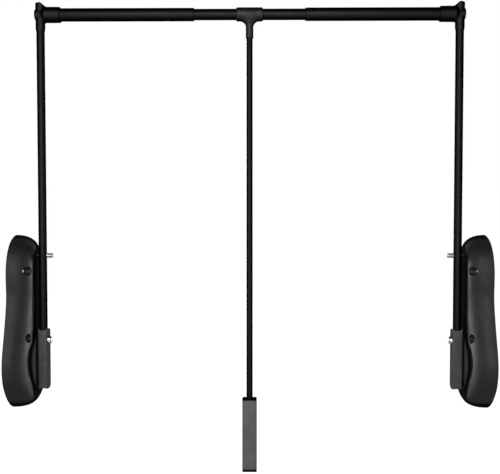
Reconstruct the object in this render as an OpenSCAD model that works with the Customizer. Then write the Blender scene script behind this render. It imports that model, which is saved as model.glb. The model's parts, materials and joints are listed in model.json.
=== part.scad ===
// Pull-down wardrobe rail: two wall units with sprung, geared pivots carry a pair of
// arms, a telescopic hanging rail and a free-swinging pull handle.
// Frame: the origin lies on the left wall, midway between that unit's two wall screws.
// +X runs to the right wall, +Z is up and -Y faces the person using it.

/* [Wardrobe] */
// Clear width between the two side walls
wall_width = 932; // [850:1:1110]

/* [Wall unit housing] */
// Height of the housing
housing_h = 340; // [330:1:400]
// Depth of the housing from its front to its back
housing_w = 142.5; // [135:0.5:170]
// How far the housing stands off the wall
housing_d = 44; // [42:0.5:50]
// Height of the pivot above the bottom of the housing
pivot_h = 90; // [84:1:96]
// Distance of the pivot from the front of the housing
pivot_in = 61.5; // [58:0.5:66]
// Fullness of the rounded edge, where 2 is an ellipse and more is squarer
edge_power = 2.2; // [2:0.1:3]
// Wall of the moulded cover
cover_wall = 2.5; // [2:0.1:3.5]
// Thickness of the steel back plate
plate_t = 2; // [1.5:0.1:3]
// Gap between the edge of the back plate and the cover
plate_gap = 0.3; // [0.2:0.1:1]

/* [Wall screws] */
// Distance between the two wall screws
screw_spacing = 130; // [110:1:136]
// Height of the lower wall screw above the pivot
screw_up = 50; // [46:1:56]
// Distance of the wall screws in front of the pivot
screw_front = 22; // [18:1:25]
// Diameter of the wells that sink the wall screws
well_d = 16; // [14:0.5:18]
// Height of the floor of the wells above the wall
well_floor = 20; // [14:1:24]
// Outer diameter of the steel ferrule in each well
ferrule_d = 9; // [8:0.5:10]
// Bore of the ferrule and of the back plate behind it
ferrule_bore = 5.5; // [4.5:0.1:6]
// Length of the ferrule
ferrule_l = 27; // [25:0.5:30]

/* [Cover screws] */
// Shank diameter of the cover screws
cover_screw_d = 3.5; // [3:0.1:4]
// Length of the cover screws
cover_screw_l = 14; // [10:1:18]
// Diameter of the bosses that take the cover screws
boss_d = 9; // [8:0.5:12]

/* [Pivot drive] */
// Diameter of the pivot shaft
shaft_d = 12; // [10:0.5:13]
// Tooth module of the pinion and the rack
tooth_module = 2; // [1.75:0.05:2.2]
// Teeth on the pinion
pinion_teeth = 20; // [19:1:22]
// Face width of the pinion and the rack
gear_w = 12; // [9:0.5:13]
// Height of the gears above the wall
gear_up = 12; // [11:0.5:14]
// Play between the flanks of the teeth
backlash = 0.3; // [0.2:0.05:0.5]
// Thickness of the rack behind its teeth
rack_back = 9; // [7:0.5:12]
// Angle through which the arms swing down
swing_angle = 95; // [80:1:100]

/* [Bearing bridge] */
// Sheet thickness of the bridge over the pinion
bridge_t = 2.5; // [2:0.1:3]
// Height of the bridge along the arm
bridge_h = 36; // [26:1:44]
// Gap between the gears and the bridge
bridge_gap = 6; // [4:0.5:7]
// Wall of the pivot bushes
bush_wall = 2; // [1.5:0.1:3]
// Length of the rear bush on the back plate
rear_bush_l = 8; // [6:0.5:9]

/* [Gas spring] */
// Outer diameter of the cylinder
cylinder_d = 20; // [16:0.5:21]
// Wall of the cylinder
cylinder_wall = 1.5; // [1:0.1:2]
// Diameter of the piston rod
piston_rod_d = 8; // [6:0.5:9]
// Length of the piston
piston_l = 12; // [8:1:16]
// Length of the gland and of the blind end of the cylinder
gland_l = 12; // [8:1:14]
// Free stroke left above the piston when the arms are down
spare_stroke = 60; // [40:1:70]
// Diameter of the pin that anchors the cylinder
anchor_d = 8; // [6:0.5:9]

/* [Arms] */
// Outer diameter of the arms
arm_d = 16; // [14:0.5:18]
// Wall of the arm tubes
arm_wall = 1.5; // [1:0.1:2]
// Distance of the arm centres from the walls
arm_out = 58; // [57:0.5:62]
// Distance of the arms behind the pivot
arm_back = 18; // [16:0.5:22]
// Distance from the pivot to the rail, along the arm
arm_reach = 678.5; // [600:0.5:760]
// Forward lean of the arms at rest, in degrees
arm_lean = 2.15; // [0:0.05:4]
// How far the arm reaches below the pivot
arm_tail = 48; // [44:1:52]

/* [Arm brackets] */
// Height of the bracket above the pivot
bracket_up = 64; // [52:1:70]
// Depth of the bracket below the pivot
bracket_down = 54.5; // [52:0.5:62]
// Depth of the bracket from its web to its open back
bracket_w = 25; // [22:0.5:30]
// Sheet thickness of the bracket
bracket_t = 1.5; // [1.2:0.1:2]
// Bend radius of the bracket
bracket_r = 4.5; // [3:0.1:5.5]
// Thickness of the web of the bracket
web_t = 2.5; // [2:0.1:3]
// Height of the bevel at the top of the web
bevel_h = 10.5; // [4:0.5:12]
// Height of the bevel at the bottom of the web
foot_bevel_h = 4; // [2:0.5:8]
// How far the bevels reach back from the front of the web
bevel_t = 3.2; // [1:0.1:4]
// Radius of the rear corners of the bracket and of the cheek
flange_r = 9; // [4:0.5:11]
// Thickness of the pivot cheek
cheek_t = 3; // [2.5:0.1:3.5]
// Distance from the pivot to the rounded front of the cheek
cheek_front = 25; // [20:0.5:28]
// Radius of the rounded front of the cheek
cheek_r = 58; // [56:1:66]
// Height of the clamp bolt above the pivot
clamp_up = 42; // [36:1:46]
// Diameter of the clamp bolt
clamp_d = 8; // [6:0.5:9]
// Diameter of the domed head of the clamp bolt
clamp_head_d = 16; // [12:0.5:17]
// Height of the domed head of the clamp bolt
clamp_head_h = 8; // [5:0.5:9]
// Distance of the stop bolt below the top of the housing
stop_drop_h = 41; // [20:1:80]
// Diameter of the stop bolt
stop_d = 5; // [4:0.5:6]
// Diameter of the head and of the sleeve nut of the stop bolt
stop_nut_d = 9; // [8:0.5:10]
// Length of the sleeve nut of the stop bolt
stop_nut_l = 13; // [9:0.5:16]
// Height of the head of the stop bolt
stop_head_h = 3; // [2:0.1:3.5]
// Distance of the groove in the sleeve nut from its end
nut_groove_in = 4; // [3:0.5:5]
// Width of that groove
nut_groove_w = 1; // [0.5:0.1:2]
// Depth of that groove
nut_groove_t = 0.5; // [0.3:0.1:0.8]

/* [Corner connectors] */
// Wall of the sleeve that grips the arm
sleeve_wall = 1.2; // [1:0.05:2]
// Length of the sleeve below the rail axis
sleeve_down = 32; // [26:1:44]
// Height of the sleeve above the rail axis
sleeve_up = 23.2; // [20:0.1:28]
// Wall of the socket that grips the rail
socket_wall = 2.5; // [2:0.1:3.5]
// Length of the socket from the arm centre
socket_l = 39; // [32:0.5:50]
// Height of the taper at the foot of the sleeve
sleeve_taper_h = 6; // [3:0.5:10]
// How far that taper draws in
sleeve_taper = 0.8; // [0.4:0.1:0.9]
// Depth of the chamfer at the mouth of the socket
mouth_chamfer = 1.4; // [0.6:0.1:2]
// How far the flat top of the connector lies off the arm axis, towards the wall
top_shift = 2.2; // [0:0.1:3]
// Diameter of the round boss on the outside
pad_d = 21; // [16:0.5:22]
// How far the round boss stands proud
pad_h = 0.6; // [0.4:0.1:2.5]
// Diameter of the fixing screws in the connector
fix_d = 4; // [3:0.5:5]

/* [Rail] */
// Outer diameter of the outer rail tubes
outer_d = 25.4; // [24.6:0.1:30]
// Wall of the outer rail tubes
outer_wall = 1.2; // [1:0.05:1.5]
// Length of each outer rail tube
outer_l = 288; // [270:1:300]
// Outer diameter of the inner rail tube
inner_d = 21.6; // [19:0.1:22]
// Wall of the inner rail tube
inner_wall = 1.5; // [1.3:0.1:2]
// Length of the inner rail tube
inner_l = 508; // [480:1:520]
// Length of the nylon guides between the tubes
guide_l = 22; // [14:1:30]
// Thickness of the lip that closes the mouth of each outer tube
guide_lip = 1.2; // [0.8:0.1:2]
// Length of the end plugs of the inner tube
plug_l = 18; // [12:1:24]

/* [Handle joint] */
// Length of the collar on the rail
collar_l = 51.6; // [46:0.1:60]
// Outer diameter of the collar
collar_d = 26.8; // [26:0.1:30]
// Chamfer at the ends of the collar
collar_chamfer = 2; // [1:0.1:2]
// Outer diameter of the stem
stem_d = 14.8; // [14:0.1:18]
// Length of the stem below the rail axis
stem_l = 47; // [38:0.5:60]
// Radius of the fillet between the collar and the stem
stem_fillet = 12; // [8:0.5:15]
// Width of the groove that keeps the collar in the middle of the rail
groove_w = 5; // [4.6:0.1:8]
// Depth of the groove
groove_depth = 0.8; // [0.5:0.1:1]

/* [Pull handle] */
// Diameter of the handle rod
rod_d = 12; // [10:0.5:12.5]
// Wall of the handle rod
rod_wall = 1.2; // [1:0.1:2]
// Distance from the rail axis to the bottom of the grip
handle_l = 886; // [600:1:1000]
// Width of the square grip
grip_w = 28; // [22:0.5:34]
// Length of the grip
grip_l = 139.5; // [100:0.5:180]
// Corner radius of the grip
grip_r = 3; // [1:0.1:6]
// Height of the end cap of the grip
end_cap_h = 5; // [3:0.1:10]
// Height of the collar cap at the top of the grip
top_cap_h = 2; // [1:0.1:4]

/* [Fits] */
// Clearance all round a fixed joint
seat_gap = 0.05; // [0.02:0.01:0.1]
// Clearance all round a turning or sliding joint
run_gap = 0.08; // [0.05:0.01:0.1]
// Gap between parts that pass without touching
pass_gap = 0.3; // [0.2:0.05:0.5]

/* [Hidden] */
$fn = 64;

// Overshoot of a cutting shape
cut = 1;

// Outline of the housing on the wall, in hundredths of its depth and height, from the
// top forwards and round
wall_outline = [[67, 100], [39.6, 96.9], [23.5, 90.1], [16.8, 81.8], [16.6, 73.2], [18.4, 65],
    [14.7, 54.4], [7.4, 42.1], [1.3, 32.4], [0, 23.5], [7.2, 14.2], [27, 5.2], [48.5, 0.5],
    [66, 0], [88, 3], [98.4, 12], [100, 24], [97.2, 40], [93.7, 56], [92.3, 71],
    [91, 84], [84, 94.7]];
// Outline of its flat face, point for point
face_outline = [[65, 90.8], [53, 89.4], [44.8, 85.4], [41.1, 80.3], [41.8, 72.9], [47.5, 65],
    [49.5, 55.3], [47.4, 42.6], [44.6, 32.4], [42.5, 24.1], [41.1, 15.9], [43.4, 8.8],
    [53, 6], [72, 6.4], [86.5, 9], [93.5, 13.8], [93, 24.5], [90.2, 40], [86.7, 56],
    [85.3, 71], [83.6, 79.6], [76.6, 86.6]];
// Points between two neighbours of an outline, and steps of the rounded edge
outline_steps = 3;
edge_steps = 6;

// Places of the wall screws and of the cover screws, in the unit's own frame
screw_places = [[-screw_front, screw_up], [-screw_front, screw_up + screw_spacing]];
screw_mid = screw_up + screw_spacing / 2;
boss_sink = 1;
boss_inset = cover_wall + boss_d / 2 - boss_sink;
boss_points = [0, 39, 54];

// Pinion, rack and gas spring
pitch_r = tooth_module * pinion_teeth / 2;
tooth_pitch = PI * tooth_module;
pressure_angle = 20;
full_turn = 360;
addendum = tooth_module;
dedendum = 1.25 * tooth_module;
gear_top = gear_up + gear_w;
travel = pitch_r * swing_angle * PI / 180;
rack_y = pitch_r + dedendum;
rack_back_y = rack_y + rack_back;
rack_up = 2 * tooth_pitch + tooth_pitch / 4;
rack_teeth_down = ceil(travel / tooth_pitch) + 2;
rack_down = (rack_teeth_down + 0.25) * tooth_pitch;
spring_x = gear_up + gear_w / 2;
spring_y = rack_y + rack_back / 2;
cylinder_z = rack_up + travel + 2 * pass_gap;
piston_z = cylinder_z + gland_l + pass_gap;
bore_top = piston_z + piston_l + travel + spare_stroke;
eye_z = bore_top + gland_l;
eye_side_gap = 1;
eye_w = gear_w - 2 * eye_side_gap;
eye_wall = 4;
eye_d = anchor_d + 2 * eye_wall;
end_wall = 3;
pin_head_lip = 2;
pin_head_d = anchor_d + 2 * pin_head_lip;
pin_head_h = 2;
anchor_top = spring_x + eye_w / 2 + pass_gap;

// Bearing bridge
bridge_x = gear_top + bridge_gap;
bridge_front = pitch_r + addendum + bridge_t + bridge_gap;
bridge_back = rack_back_y + pass_gap + bridge_t;
bush_d = shaft_d + 2 * run_gap + 2 * bush_wall;
bush_flange = 1.5;
bush_proud = 0.5;

// Bracket and arm
channel_w = arm_d + 2 * seat_gap + 2 * bracket_t;
web_y = arm_back - channel_w / 2 + bracket_t - web_t;
cheek_x = arm_out - channel_w / 2 - cheek_t;
channel_in = arm_out + channel_w / 2;
stop_z = housing_h - pivot_h - stop_drop_h;
rail_y = arm_back * cos(arm_lean) - arm_reach * sin(arm_lean);
rail_z = arm_back * sin(arm_lean) + arm_reach * cos(arm_lean);
shaft_start = plate_t + bush_flange;

// Connector and rail
sleeve_d = arm_d + 2 * seat_gap + 2 * sleeve_wall;
socket_bore = outer_d + 2 * seat_gap;
socket_d = socket_bore + 2 * socket_wall;
socket_floor_t = 1;
socket_floor = sleeve_d / 2 + socket_floor_t;
cap_t = 5;
cap_edge = 2;
cap_lean = top_shift * 0.3;
cap_swell = 0.3;
root_inset = 0.4;
root_l = 1.5;
cap_r = sleeve_d / 2 + cap_swell;
arm_top = sleeve_up - cap_t;
arm_l = arm_tail + arm_reach + arm_top;
pad_x = -sleeve_d / 2 - pad_h;
pad_edge = 1;
tube_play = 0.2;
outer_start = arm_out + socket_floor + tube_play;
outer_end = outer_start + outer_l;
outer_bore = outer_d - 2 * outer_wall;
fix_x = (socket_floor + socket_l) / 2;
fix_z = -(sleeve_down + socket_d / 2) / 2;

// Handle
grip_top = handle_l - grip_l;
rod_below_collar = 6;
rod_in_stem = stem_l - collar_d / 2 - rod_below_collar;
rod_above_cap = 2;
rod_end = handle_l - end_cap_h - rod_above_cap;
stem_chamfer = 1.5;
plug_head_l = 3;
fillet_rise = 1;

// A loop of points smoothed by a closed spline through each of them
function spline_point(p, i, t) =
    let (n = len(p), a = p[(i + n - 1) % n], b = p[i], c = p[(i + 1) % n], d = p[(i + 2) % n])
    0.5 * (2 * b + (c - a) * t + (2 * a - 5 * b + 4 * c - d) * t * t
        + (3 * b - a - 3 * c + d) * t * t * t);
function smooth_loop(p) =
    [for (i = [0 : len(p) - 1]) for (k = [0 : outline_steps - 1])
        spline_point(p, i, k / outline_steps)];
function in_mm(p) =
    [for (q = p) [q[0] / 100 * housing_w - pivot_in, q[1] / 100 * housing_h - pivot_h]];

// The loop moved inwards by a distance
function unit(v) = v / norm(v);
function inward(p, i) =
    let (n = len(p), t = unit(p[(i + 1) % n] - p[(i + n - 1) % n])) [-t[1], t[0]];
function inset(p, distance) = [for (i = [0 : len(p) - 1]) p[i] + distance * inward(p, i)];

wall_loop = smooth_loop(in_mm(wall_outline));
face_loop = smooth_loop(in_mm(face_outline));

// Involute flank of the pinion
base_r = pitch_r * cos(pressure_angle);
function involute(r) = tan(acos(base_r / r)) * 180 / PI - acos(base_r / r);
half_tooth = 90 / pinion_teeth - backlash / 4 / pitch_r * 180 / PI;
function flank_angle(r) = half_tooth + involute(pitch_r) - involute(max(r, base_r));
flank_radii = [for (k = [0 : 5]) base_r + (pitch_r + addendum - base_r) * k / 5];
root_r = pitch_r - dedendum;
function polar(r, a) = [r * cos(a), r * sin(a)];
function tooth_points(a) = concat([polar(root_r, a - flank_angle(base_r))],
    [for (r = flank_radii) polar(r, a - flank_angle(r))],
    [for (k = [5 : -1 : 0]) polar(flank_radii[k], a + flank_angle(flank_radii[k]))],
    [polar(root_r, a + flank_angle(base_r))]);

// Left unit frame: x from the wall, y and z from the pivot axis
module left() {
    translate([0, screw_front, -screw_mid]) children();
}
module right() {
    translate([wall_width, 0, 0]) mirror([1, 0, 0]) left() children();
}
// Arm frame: leans forward about the pivot
module leaned() {
    rotate([arm_lean, 0, 0]) children();
}
module at_arm(z) {
    leaned() translate([arm_out, arm_back, z]) children();
}
// Rail frame: x from the middle of the rail, y and z from its axis
module at_rail() {
    translate([wall_width / 2, rail_y + screw_front, rail_z - screw_mid]) children();
}

// Round bar along x
module bar(d, from, to, y = 0, z = 0) {
    translate([from, y, z]) rotate([0, 90, 0]) cylinder(d = d, h = to - from);
}
// Cone along x
module cone(d_from, d_to, from, to, y = 0, z = 0) {
    translate([from, y, z]) rotate([0, 90, 0]) cylinder(d1 = d_from, d2 = d_to, h = to - from);
}
// Tube along x
module tube(d, bore, from, to) {
    difference() {
        bar(d, from, to);
        bar(bore, from - cut, to + cut);
    }
}
// Profile in y and z, drawn out along x
module draw_x(from, to) {
    translate([from, 0, 0]) rotate([90, 0, 90]) linear_extrude(to - from) children();
}
// Square with true rounded corners
module soft_square(w, h, r) {
    square([w - 2 * r, h], center = true);
    square([w, h - 2 * r], center = true);
    for (sx = [-1, 1], sy = [-1, 1]) {
        translate([sx * (w / 2 - r), sy * (h / 2 - r)]) circle(r);
    }
}

// Solid lofted from the loop on the wall to the loop of the flat face
module dome(from_loop, to_loop, depth, start) {
    n = len(from_loop);
    angles = [for (k = [0 : edge_steps]) 90 * k / edge_steps];
    shares = [for (a = angles) 1 - pow(cos(a), 2 / edge_power)];
    heights = [for (a = angles) depth * pow(sin(a), 2 / edge_power)];
    rings = concat([[for (q = from_loop) [start, q[0], q[1]]]],
        [for (k = [start < 0 ? 0 : 1 : edge_steps])
            [for (i = [0 : n - 1])
                let (q = from_loop[i] * (1 - shares[k]) + to_loop[i] * shares[k])
                [heights[k], q[0], q[1]]]]);
    last = len(rings) - 1;
    sides = [for (k = [0 : last - 1], i = [0 : n - 1])
        let (a = k * n + i, b = k * n + (i + 1) % n, c = b + n, d = a + n)
        each [[a, c, b], [a, d, c]]];
    polyhedron(points = [for (ring = rings) each ring],
        faces = concat([[for (i = [0 : n - 1]) i]], sides,
            [[for (i = [n - 1 : -1 : 0]) last * n + i]]));
}
module housing_form() {
    dome(wall_loop, face_loop, housing_d, 0);
}
module cover() color("#2b2b2d") {
    boss_places = [for (i = boss_points) inset(wall_loop, boss_inset)[i]];
    difference() {
        union() {
            difference() {
                housing_form();
                dome(inset(wall_loop, cover_wall), face_loop, housing_d - cover_wall, -cut);
            }
            intersection() {
                housing_form();
                union() {
                    for (p = screw_places) {
                        bar(well_d + 2 * cover_wall, well_floor - cover_wall, housing_d, p[0], p[1]);
                    }
                    for (p = boss_places) {
                        bar(boss_d, plate_t, housing_d, p[0], p[1]);
                    }
                }
            }
        }
        for (p = screw_places) {
            bar(well_d, well_floor, housing_d + cut, p[0], p[1]);
            bar(ferrule_d + 2 * seat_gap, 0, housing_d, p[0], p[1]);
        }
        for (p = boss_places) {
            bar(cover_screw_d + 2 * seat_gap, 0, cover_screw_l + seat_gap, p[0], p[1]);
        }
        bar(bush_d + 2 * seat_gap, housing_d - 3 * cover_wall, housing_d + cut);
    }
}
module back_plate() color("#4a4b4e") difference() {
    draw_x(0, plate_t) polygon(inset(wall_loop, cover_wall + plate_gap));
    for (p = screw_places) {
        bar(ferrule_bore, -cut, plate_t + cut, p[0], p[1]);
    }
    for (i = boss_points) {
        p = inset(wall_loop, boss_inset)[i];
        cone(2 * cover_screw_d + 2 * seat_gap, cover_screw_d + 2 * seat_gap, 0, plate_t, p[0], p[1]);
        bar(cover_screw_d + 2 * seat_gap, -cut, plate_t + cut, p[0], p[1]);
    }
    bar(anchor_d + 2 * seat_gap, -cut, plate_t + cut, spring_y, eye_z);
}
module ferrules() color("#d8d9db") {
    for (p = screw_places) {
        difference() {
            bar(ferrule_d, plate_t, plate_t + ferrule_l, p[0], p[1]);
            bar(ferrule_bore, 0, housing_d, p[0], p[1]);
        }
    }
}
module cover_screws() color("#9a9b9e") {
    for (i = boss_points) {
        p = inset(wall_loop, boss_inset)[i];
        cone(2 * cover_screw_d, cover_screw_d, 0, plate_t, p[0], p[1]);
        bar(cover_screw_d, plate_t, cover_screw_l, p[0], p[1]);
    }
}
module bearing_bridge() color("#77797d") difference() {
    translate([plate_t, -bridge_front, -bridge_h / 2])
        cube([bridge_x + bridge_t - plate_t, bridge_front + bridge_back, bridge_h]);
    translate([0, bridge_t - bridge_front, -bridge_h])
        cube([bridge_x, bridge_front + bridge_back - 2 * bridge_t, 2 * bridge_h]);
    bar(bush_d + 2 * seat_gap, 0, housing_d);
}
module pivot_bushes() color("#c9c4b4") {
    difference() {
        union() {
            bar(bush_d, bridge_x - bush_flange, housing_d + bush_proud);
            bar(bush_d + 2 * bush_wall, bridge_x - bush_flange, bridge_x);
        }
        bar(shaft_d + 2 * run_gap, 0, housing_d + cheek_t);
    }
    difference() {
        bar(bush_d + bush_wall, plate_t, plate_t + rear_bush_l);
        bar(shaft_d + 2 * run_gap, shaft_start - pass_gap, housing_d);
    }
}
module cylinder_body() color("#1b1b1d") {
    translate([spring_x, spring_y, 0]) {
        difference() {
            translate([0, 0, cylinder_z]) cylinder(d = cylinder_d, h = bore_top + end_wall - cylinder_z);
            translate([0, 0, cylinder_z - cut])
                cylinder(d = piston_rod_d + 2 * run_gap, h = gland_l + 2 * cut);
            translate([0, 0, cylinder_z + gland_l])
                cylinder(d = cylinder_d - 2 * cylinder_wall, h = bore_top - cylinder_z - gland_l);
        }
    }
    difference() {
        union() {
            bar(eye_d, spring_x - eye_w / 2, spring_x + eye_w / 2, spring_y, eye_z);
            translate([spring_x - eye_w / 2, spring_y - eye_d / 2, bore_top + end_wall / 2])
                cube([eye_w, eye_d, eye_z - bore_top - end_wall / 2]);
        }
        bar(anchor_d + 2 * seat_gap, 0, housing_d, spring_y, eye_z);
    }
}
module anchor_pin() color("#b9babd") {
    bar(anchor_d, 0, anchor_top, spring_y, eye_z);
    bar(pin_head_d, anchor_top, anchor_top + pin_head_h, spring_y, eye_z);
    bar(pin_head_d, plate_t, spring_x - eye_w / 2 - pass_gap, spring_y, eye_z);
}
module rack() color("#8e9094") {
    foot = tooth_pitch / 4 - backlash / 4 + dedendum * tan(pressure_angle);
    tip = tooth_pitch / 4 - backlash / 4 - addendum * tan(pressure_angle);
    crest = rack_y - addendum - dedendum;
    teeth = [for (k = [-rack_teeth_down : 1])
        let (z = (k + 0.5) * tooth_pitch)
        each [[rack_y, z - foot], [crest, z - tip], [crest, z + tip], [rack_y, z + foot]]];
    draw_x(gear_up, gear_top) polygon(concat([[rack_back_y, -rack_down], [rack_y, -rack_down]], teeth,
        [[rack_y, rack_up], [rack_back_y, rack_up]]));
}
module piston_rod() color("#dcdde0") translate([spring_x, spring_y, 0]) {
    translate([0, 0, rack_up]) cylinder(d = piston_rod_d, h = piston_z + piston_l - rack_up);
    translate([0, 0, piston_z])
        cylinder(d = cylinder_d - 2 * cylinder_wall - 2 * run_gap, h = piston_l);
}
module pivot_shaft() color("#b9babd") {
    bar(shaft_d, shaft_start, cheek_x);
}
module pinion() color("#8e9094") difference() {
    draw_x(gear_up, gear_top)
        polygon([for (k = [0 : pinion_teeth - 1]) each tooth_points(k * full_turn / pinion_teeth)]);
    bar(shaft_d + 2 * seat_gap, 0, housing_d);
}
// Bracket seen along the rail: a bevelled front and round rear corners
module bracket_side() difference() {
    translate([web_y, -bracket_down]) square([bracket_w, bracket_down + bracket_up]);
    polygon(bevel_points(bracket_up, bevel_h, cut));
    polygon(bevel_points(-bracket_down, -foot_bevel_h, -cut));
    rear_corner(bracket_up - flange_r);
    mirror([0, 1]) rear_corner(bracket_down - flange_r);
}
function bevel_points(z, h, over) = [[web_y, z - h], [web_y + bevel_t, z], [web_y + bevel_t, z + over],
    [web_y - cut, z + over], [web_y - cut, z - h]];
module rear_corner(z) translate([web_y + bracket_w - flange_r, z]) difference() {
    square(flange_r + cut);
    circle(flange_r);
}
module pivot_cheek() color("#202022") leaned() difference() {
    draw_x(cheek_x, cheek_x + cheek_t) intersection() {
        translate([cheek_r - cheek_front, 0]) circle(cheek_r, $fn = 128);
        difference() {
            translate([-cheek_front, -bracket_down])
                square([web_y + bracket_w + cheek_front, bracket_down + bracket_up]);
            rear_corner(bracket_up - flange_r);
            mirror([0, 1]) rear_corner(bracket_down - flange_r);
        }
    }
    bar(clamp_d + 2 * seat_gap, 0, channel_in, arm_back, clamp_up);
}
module arm_bracket() color("#3a3a3c") leaned() difference() {
    intersection() {
        translate([arm_out, web_y + bracket_w, -bracket_down - cut])
            linear_extrude(bracket_down + bracket_up + 2 * cut) difference() {
                soft_square(channel_w, 2 * bracket_w, bracket_r);
                soft_square(channel_w - 2 * bracket_t, 2 * (bracket_w - web_t), bracket_r - bracket_t);
            }
        draw_x(cheek_x, channel_in + cut) bracket_side();
    }
    bar(clamp_d + 2 * seat_gap, 0, channel_in + cut, arm_back, clamp_up);
}
module clamp_bolt() color("#d0d2d6") leaned() {
    bar(clamp_d, cheek_x, channel_in, arm_back, clamp_up);
    translate([channel_in, arm_back, clamp_up]) rotate([0, 90, 0]) rotate_extrude() {
        dome_r = min(clamp_head_h, clamp_head_d / 2) * 0.75;
        square([clamp_head_d / 2, clamp_head_h - dome_r]);
        square([clamp_head_d / 2 - dome_r, clamp_head_h]);
        intersection() {
            translate([clamp_head_d / 2 - dome_r, clamp_head_h - dome_r]) circle(dome_r);
            square([clamp_head_d, clamp_head_h]);
        }
    }
}
module arm() color("#141415") difference() {
    at_arm(-arm_tail) difference() {
        cylinder(d = arm_d, h = arm_l);
        translate([0, 0, -cut]) cylinder(d = arm_d - 2 * arm_wall, h = arm_l + 2 * cut);
    }
    leaned() bar(clamp_d + 2 * seat_gap, 0, channel_in, arm_back, clamp_up);
    leaned() bar(stop_d + 2 * seat_gap, 0, channel_in, arm_back, stop_z);
}
module stop_bolt() color("#c4c5c8") leaned() {
    bar(stop_d, arm_out - arm_d / 2, arm_out + arm_d / 2 + stop_nut_l / 2, arm_back, stop_z);
    bar(stop_nut_d, arm_out - arm_d / 2 - stop_head_h, arm_out - arm_d / 2, arm_back, stop_z);
}
module stop_nut() color("#9fa0a4") leaned() difference() {
    translate([arm_out + arm_d / 2, arm_back, stop_z]) rotate([0, 90, 0]) rotate_extrude() {
        difference() {
            square([stop_nut_d / 2, stop_nut_l - stop_nut_d / 3]);
            translate([stop_nut_d / 2 - nut_groove_t, stop_nut_l - nut_groove_in - nut_groove_w])
                square([stop_nut_d, nut_groove_w]);
        }
        square([stop_nut_d / 6, stop_nut_l]);
        intersection() {
            translate([stop_nut_d / 6, stop_nut_l - stop_nut_d / 3]) circle(stop_nut_d / 3);
            square([stop_nut_d, stop_nut_l]);
        }
    }
    bar(stop_d + 2 * seat_gap, 0, arm_out + arm_d / 2 + stop_nut_l / 2 + seat_gap, arm_back, stop_z);
}
module corner_connector() color("#161617") at_arm(arm_reach) difference() {
    union() {
        translate([0, 0, -sleeve_down])
            cylinder(d1 = sleeve_d - 2 * sleeve_taper, d2 = sleeve_d, h = sleeve_taper_h);
        translate([0, 0, sleeve_taper_h - sleeve_down]) cylinder(d = sleeve_d, h = sleeve_down);
        corner_form();
        bar(socket_d, socket_floor, socket_l - mouth_chamfer);
        cone(socket_d, socket_d - 2 * mouth_chamfer, socket_l - mouth_chamfer, socket_l);
        cone(pad_d - 2 * pad_edge, pad_d, pad_x, pad_x + pad_edge);
        bar(pad_d, pad_x + pad_edge, 0);
    }
    translate([0, 0, -sleeve_down - cut])
        cylinder(d = arm_d + 2 * seat_gap, h = sleeve_down + cut + arm_top + seat_gap);
    bar(socket_bore, socket_floor, socket_l + cut);
    fix_places() cylinder(d = fix_d + 2 * seat_gap, h = socket_d);
}
// Swelling that blends the sleeve into the socket and closes it on top
module corner_form() hull() {
    cylinder(r = cap_r, h = sleeve_up - cap_t - cap_lean, $fn = 32);
    translate([-cap_lean, 0, 0]) cylinder(r = cap_r - cap_lean, h = sleeve_up - cap_t, $fn = 32);
    translate([cap_lean - top_shift, 0, 0])
        cylinder(r = cap_r - cap_edge - cap_lean, h = sleeve_up - cap_edge, $fn = 32);
    translate([-top_shift, 0, 0]) cylinder(r = cap_r - cap_t, h = sleeve_up, $fn = 32);
    translate([0, 0, cap_edge - socket_d / 2]) cylinder(r = cap_r, h = cap_edge, $fn = 32);
    translate([socket_floor, 0, 0]) rotate([0, 90, 0])
        cylinder(r = socket_d / 2 - root_inset, h = root_l, $fn = 32);
}
// Places of the two fixing screws, which enter from behind
module fix_places() {
    translate([fix_x, 0, 0]) rotate([-90, 0, 0]) children();
    translate([0, 0, fix_z]) rotate([-90, 0, 0]) children();
}
module corner_screws() color("#2a2a2c") at_arm(arm_reach) {
    translate([fix_x, outer_d / 2 + seat_gap, 0]) rotate([-90, 0, 0])
        cylinder(d = fix_d, h = socket_wall);
    translate([0, arm_d / 2 + seat_gap, fix_z]) rotate([-90, 0, 0])
        cylinder(d = fix_d, h = sleeve_wall);
}
module outer_tube() color("#101011") leaned() translate([0, arm_back, arm_reach]) {
    tube(outer_d, outer_bore, outer_start, outer_end);
}
module tube_guide() color("#242426") leaned() translate([0, arm_back, arm_reach]) difference() {
    union() {
        bar(outer_bore - 2 * seat_gap, outer_end - guide_l, outer_end);
        bar(outer_d, outer_end, outer_end + guide_lip);
    }
    bar(inner_d + 2 * run_gap, 0, outer_end + guide_l);
}
module inner_tube() color("#1d1d1f") at_rail() difference() {
    tube(inner_d, inner_d - 2 * inner_wall, -inner_l / 2, inner_l / 2);
    tube(inner_d + cut, inner_d - 2 * groove_depth, -groove_w / 2, groove_w / 2);
}
module tube_plugs() color("#242426") at_rail() {
    for (side = [-1, 1]) {
        translate([side * inner_l / 2, 0, 0]) mirror([side < 0 ? 1 : 0, 0, 0]) {
            bar(inner_d - 2 * inner_wall - 2 * seat_gap, -plug_l, 0);
            bar(outer_bore - 4 * run_gap, 0, plug_head_l);
        }
    }
}
module handle_collar() color("#3c3c3e") at_rail() difference() {
    union() {
        bar(collar_d, collar_chamfer - collar_l / 2, collar_l / 2 - collar_chamfer);
        cone(collar_d - 2 * collar_chamfer, collar_d, -collar_l / 2, collar_chamfer - collar_l / 2);
        cone(collar_d, collar_d - 2 * collar_chamfer, collar_l / 2 - collar_chamfer, collar_l / 2);
        intersection() {
            stem_form();
            draw_x(-collar_l, collar_l) stem_side();
        }
    }
    bar(inner_d + 2 * run_gap, -collar_l, collar_l);
    translate([0, 0, -stem_l - cut]) cylinder(d = rod_d + 2 * seat_gap, h = rod_in_stem + cut);
    rotate([-90, 0, 0]) cylinder(d = fix_d + 2 * seat_gap, h = collar_d);
}
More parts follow.
